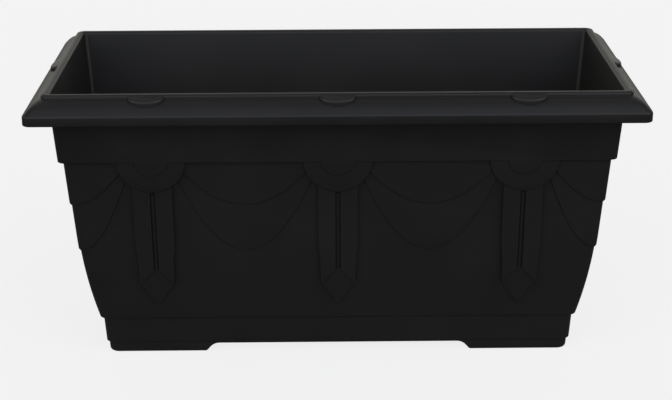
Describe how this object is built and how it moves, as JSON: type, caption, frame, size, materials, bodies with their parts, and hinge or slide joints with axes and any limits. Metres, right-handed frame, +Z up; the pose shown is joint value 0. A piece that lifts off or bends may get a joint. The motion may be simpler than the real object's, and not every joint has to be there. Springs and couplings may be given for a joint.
{
  "type": "rectangular planter",
  "caption": "Rectangular moulded trough planter with an overhanging rim, swag relief, corner feet and removable drain plugs.",
  "frame": {"origin": "on the floor under the middle of the planter", "axes": "+X along the planter's length, -Y to the front, +Z up"},
  "size_m": [0.585, 0.278, 0.2856],
  "materials": {
    "trough_plastic": "satin moulded polypropylene, near-black charcoal",
    "plug_plastic": "satin moulded polyethylene, near-black"
  },
  "bodies": {
    "trough": {"trough": "trough_plastic"},
    "plug_front_left": {"drain_plug_front_left": "plug_plastic"},
    "plug_front_right": {"drain_plug_front_right": "plug_plastic"},
    "plug_back_left": {"drain_plug_back_left": "plug_plastic"},
    "plug_back_right": {"drain_plug_back_right": "plug_plastic"}
  },
  "joints": [
    {"name": "plug_front_left_pull", "type": "slide", "parent": "trough", "child": "plug_front_left", "axis": [0, 0, 1], "range_m": [0, 0.3]},
    {"name": "plug_front_right_pull", "type": "slide", "parent": "trough", "child": "plug_front_right", "axis": [0, 0, 1], "range_m": [0, 0.3]},
    {"name": "plug_back_left_pull", "type": "slide", "parent": "trough", "child": "plug_back_left", "axis": [0, 0, 1], "range_m": [0, 0.3]},
    {"name": "plug_back_right_pull", "type": "slide", "parent": "trough", "child": "plug_back_right", "axis": [0, 0, 1], "range_m": [0, 0.3]}
  ]
}
